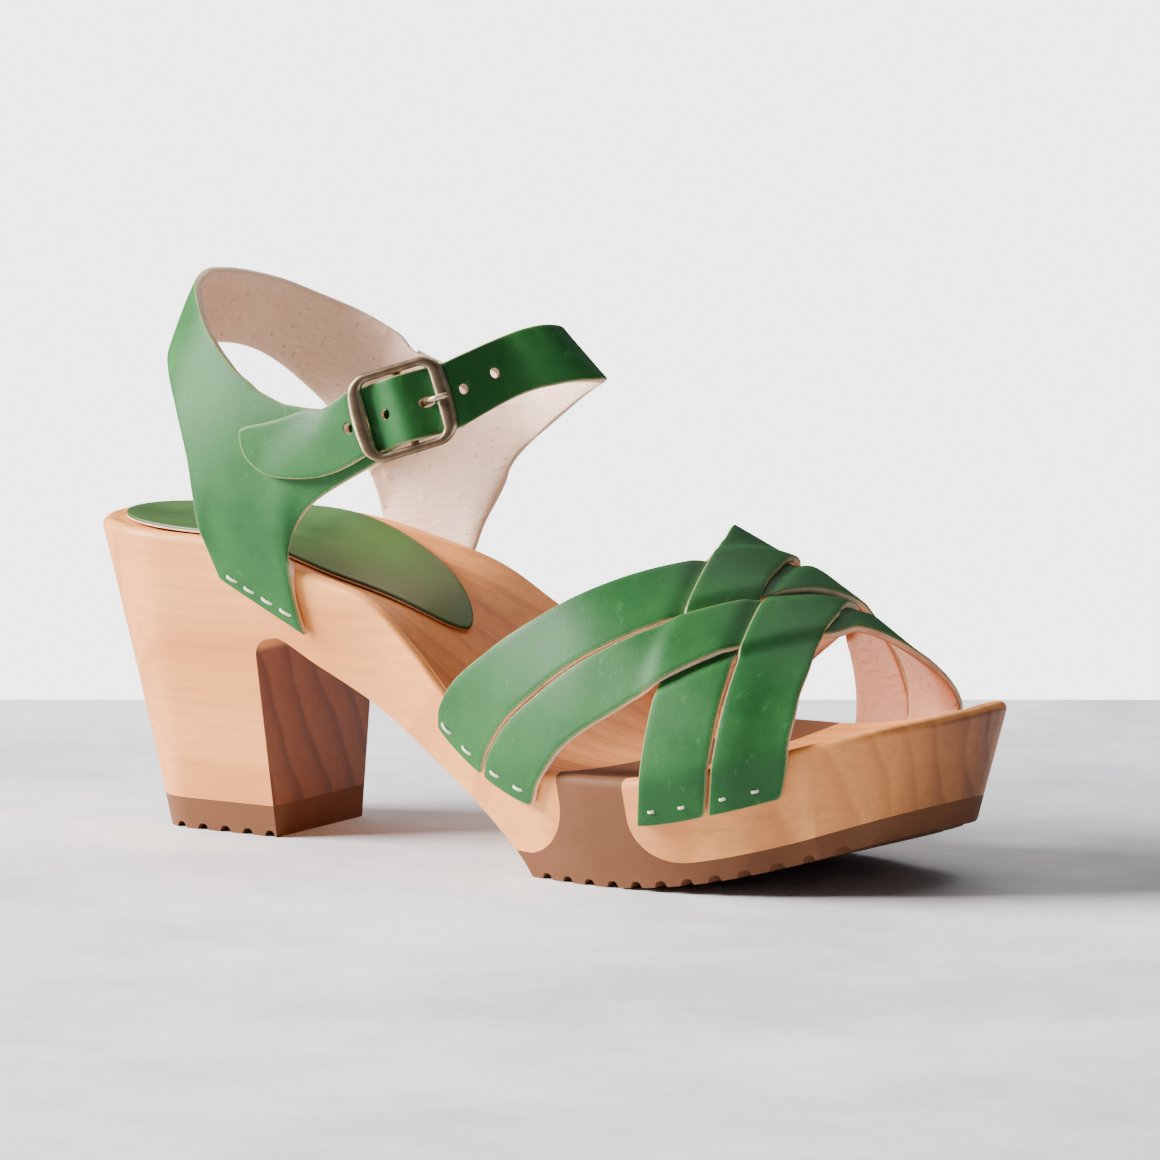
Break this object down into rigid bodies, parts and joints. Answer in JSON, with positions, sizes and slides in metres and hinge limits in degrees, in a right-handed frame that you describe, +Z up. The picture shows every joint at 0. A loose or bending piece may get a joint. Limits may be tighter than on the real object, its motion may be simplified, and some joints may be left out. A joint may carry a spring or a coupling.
{
  "type": "clog sandal",
  "caption": "Right clog sandal: high milled wooden sole with a rubber flex insert, woven leather toe straps and a buckled ankle strap.",
  "frame": {"origin": "on the floor, in the middle of the shoe's bounding box", "axes": "+X from the heel to the toe, +Y to the medial side (this right shoe's left), +Z up from the floor"},
  "size_m": [0.2418, 0.0978, 0.1389],
  "materials": {
    "honey_wood": "fine-sanded alder with a thin satin oil, horizontal grain on the heel and streaky end grain at the toe",
    "brown_rubber": "matt moulded sole rubber with a faint speckle",
    "green_leather": "smooth pull-up leather with raw tan edges and an unlined pinkish flesh side",
    "antique_brass": "dark antiqued brass with rubbed edges"
  },
  "bodies": {
    "root": {"rear_wood_block": "honey_wood", "toe_wood_block": "honey_wood", "forefoot_rubber_sole": "brown_rubber", "rubber_heel_lift": "brown_rubber", "heel_sock": "green_leather", "toe_straps": "green_leather", "heel_quarter": "green_leather", "ankle_strap": "green_leather", "buckle": "antique_brass", "buckle_prong": "antique_brass"}
  },
  "joints": []
}
